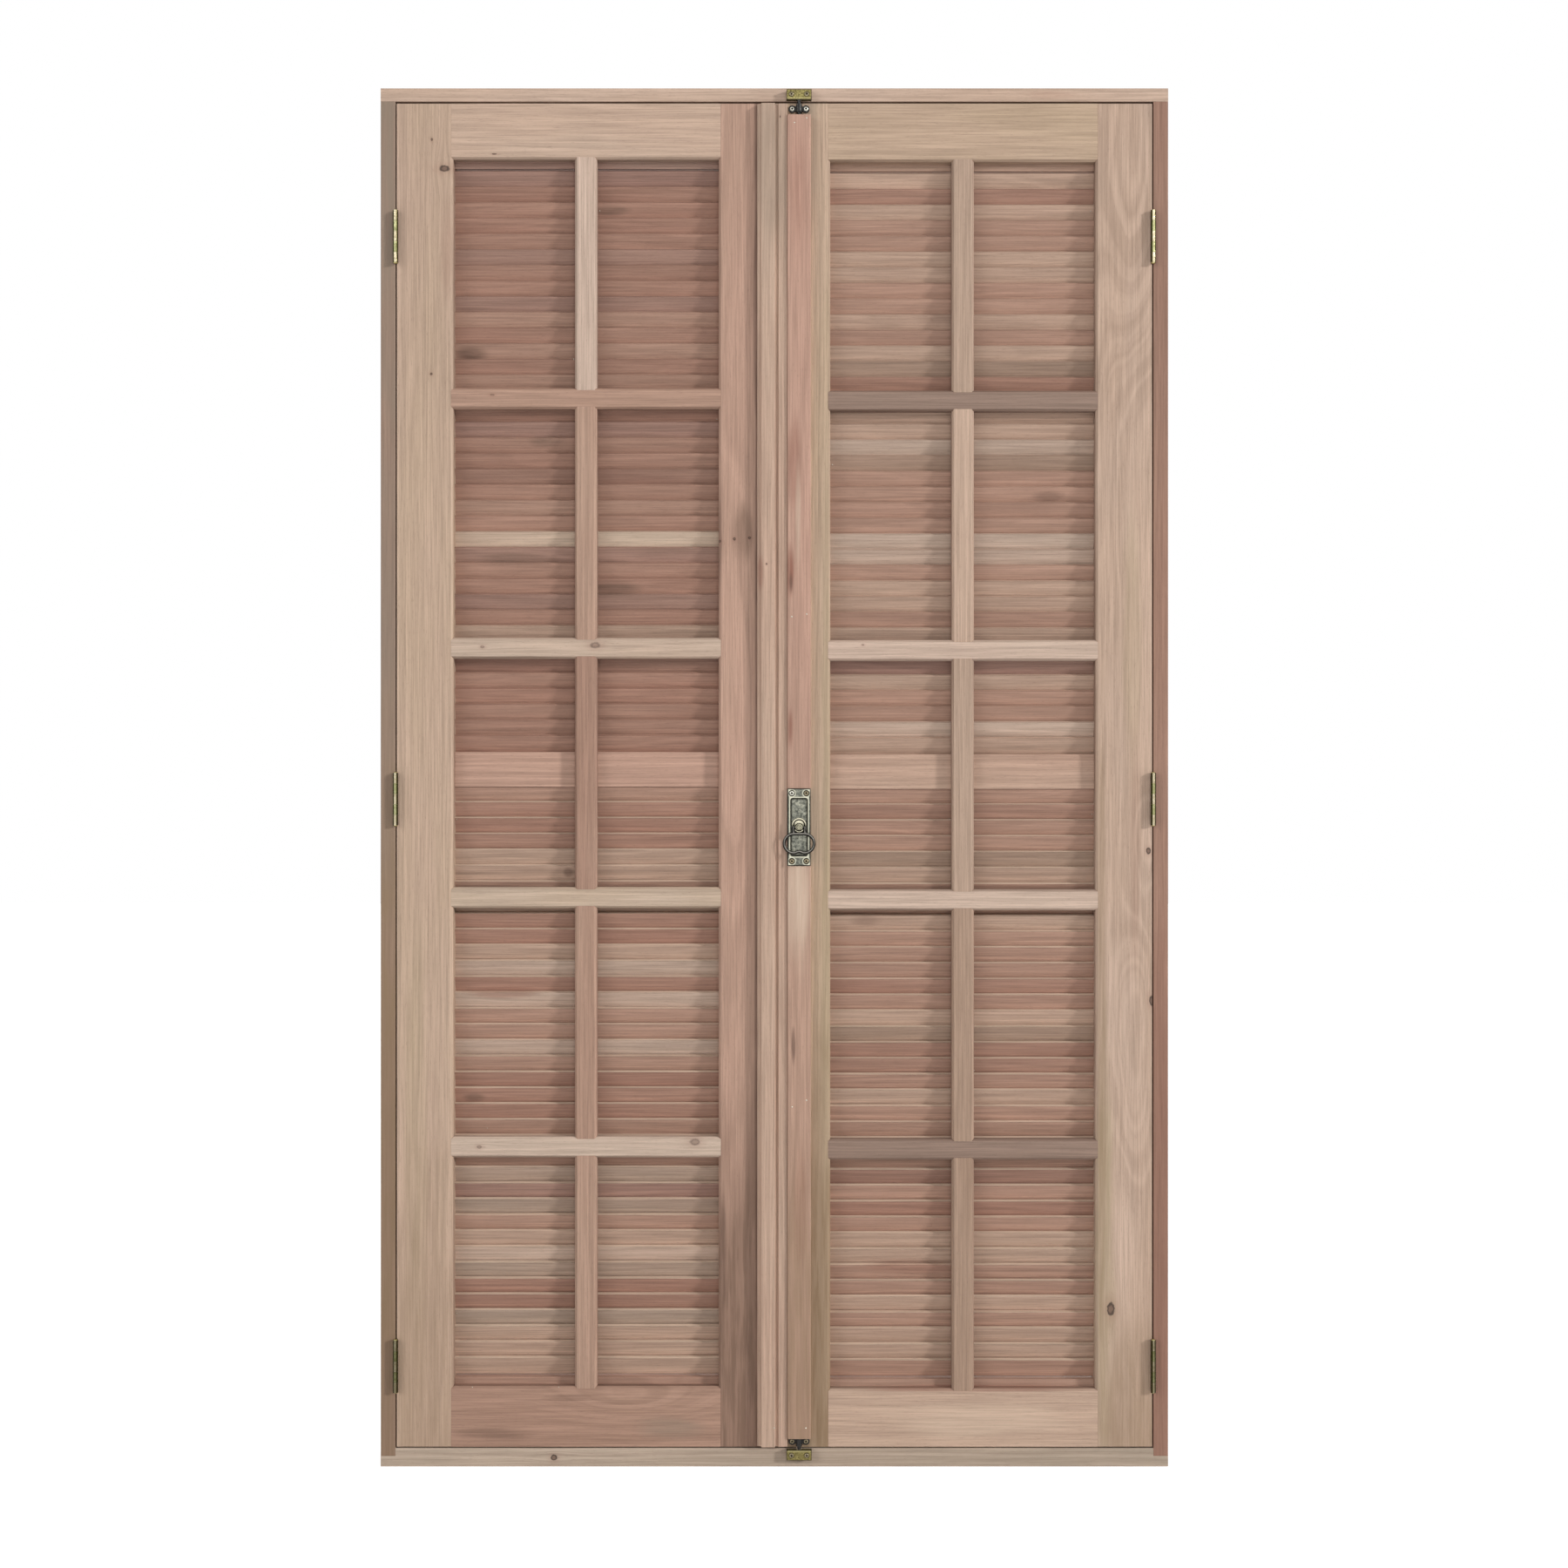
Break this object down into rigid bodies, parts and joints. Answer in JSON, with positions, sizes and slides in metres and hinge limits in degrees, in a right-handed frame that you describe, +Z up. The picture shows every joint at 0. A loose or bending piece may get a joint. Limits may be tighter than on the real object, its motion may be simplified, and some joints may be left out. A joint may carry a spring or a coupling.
{
  "type": "louvred double door with frame",
  "caption": "Pair of hinged louvred wooden doors with glazing bars in a rebated frame, shut by a surface cremone bolt with ring handle.",
  "frame": {"origin": "middle of the sill's underside, half way through the frame's depth", "axes": "+Z up, +X to the right as seen from the room, +Y through the wall away from the room"},
  "size_m": [1.2, 0.1326, 2.1],
  "materials": {
    "frame_wood": "raw planed",
    "leaf_wood": "raw planed",
    "slat_wood": "raw planed",
    "hinge_metal": "brassed steel, dulled",
    "aged_brass": "aged",
    "dark_iron": "blackened",
    "screw_steel": "zinc plated"
  },
  "bodies": {
    "frame": {"head": "frame_wood", "sill": "frame_wood", "left_jamb": "frame_wood", "right_jamb": "frame_wood", "left_lower_frame_hinge": "hinge_metal", "left_middle_frame_hinge": "hinge_metal", "left_upper_frame_hinge": "hinge_metal", "right_lower_frame_hinge": "hinge_metal", "right_middle_frame_hinge": "hinge_metal", "right_upper_frame_hinge": "hinge_metal", "left_hinge_pins": "hinge_metal", "right_hinge_pins": "hinge_metal", "top_keep": "aged_brass", "bottom_keep": "aged_brass", "keep_screws": "screw_steel"},
    "left_leaf": {"left_hinge_stile": "leaf_wood", "left_meeting_stile": "leaf_wood", "left_top_rail": "leaf_wood", "left_bottom_rail": "leaf_wood", "left_middle_rail": "slat_wood", "left_upper_slats": "slat_wood", "left_lower_slats": "slat_wood", "left_bar_1": "leaf_wood", "left_bar_2": "leaf_wood", "left_bar_3": "leaf_wood", "left_bar_4": "leaf_wood", "left_uprights": "leaf_wood", "left_lower_leaf_hinge": "hinge_metal", "left_middle_leaf_hinge": "hinge_metal", "left_upper_leaf_hinge": "hinge_metal"},
    "right_leaf": {"right_hinge_stile": "leaf_wood", "right_meeting_stile": "leaf_wood", "right_top_rail": "leaf_wood", "right_bottom_rail": "leaf_wood", "right_middle_rail": "slat_wood", "right_upper_slats": "slat_wood", "right_lower_slats": "slat_wood", "right_bar_1": "leaf_wood", "right_bar_2": "leaf_wood", "right_bar_3": "leaf_wood", "right_bar_4": "leaf_wood", "right_uprights": "leaf_wood", "right_lower_leaf_hinge": "hinge_metal", "right_middle_leaf_hinge": "hinge_metal", "right_upper_leaf_hinge": "hinge_metal", "astragal": "leaf_wood", "upper_rod_cover": "leaf_wood", "lower_rod_cover": "leaf_wood", "bolt_case": "aged_brass", "case_liner": "dark_iron", "upper_rod_guide": "dark_iron", "lower_rod_guide": "dark_iron", "bolt_screws": "screw_steel"},
    "knob": {"bolt_knob": "aged_brass", "drive_gear": "dark_iron"},
    "ring": {"ring_handle": "dark_iron"},
    "upper_rod": {"upper_bolt_rod": "dark_iron"},
    "lower_rod": {"lower_bolt_rod": "dark_iron"}
  },
  "joints": [
    {"name": "right_leaf_swing", "type": "hinge", "parent": "frame", "child": "right_leaf", "pos_m": [0.5765, -0.0593, 1], "axis": [0, 0, 1], "range_deg": [0, 170]},
    {"name": "left_leaf_swing", "type": "hinge", "parent": "frame", "child": "left_leaf", "pos_m": [-0.5765, -0.0593, 1], "axis": [0, 0, -1], "range_deg": [0, 170]},
    {"name": "knob_turn", "type": "hinge", "parent": "right_leaf", "child": "knob", "pos_m": [0.0375, -0.06, 0.9745], "axis": [0, 1, 0], "range_deg": [0, 90]},
    {"name": "upper_rod_slide", "type": "slide", "parent": "right_leaf", "child": "upper_rod", "axis": [0, 0, 1], "range_m": [0, 0.012]},
    {"name": "lower_rod_slide", "type": "slide", "parent": "right_leaf", "child": "lower_rod", "axis": [0, 0, -1], "range_m": [0, 0.012]},
    {"name": "ring_swing", "type": "hinge", "parent": "knob", "child": "ring", "pos_m": [0.0375, -0.0735, 0.9745], "axis": [-1, 0, 0], "range_deg": [0, 100]}
  ],
  "couplings": [
    {"joint": "left_leaf_swing", "follows": "right_leaf_swing", "ratio": 1},
    {"joint": "upper_rod_slide", "follows": "knob_turn", "m_per_rad": 0.0075},
    {"joint": "lower_rod_slide", "follows": "knob_turn", "m_per_rad": 0.0075}
  ]
}
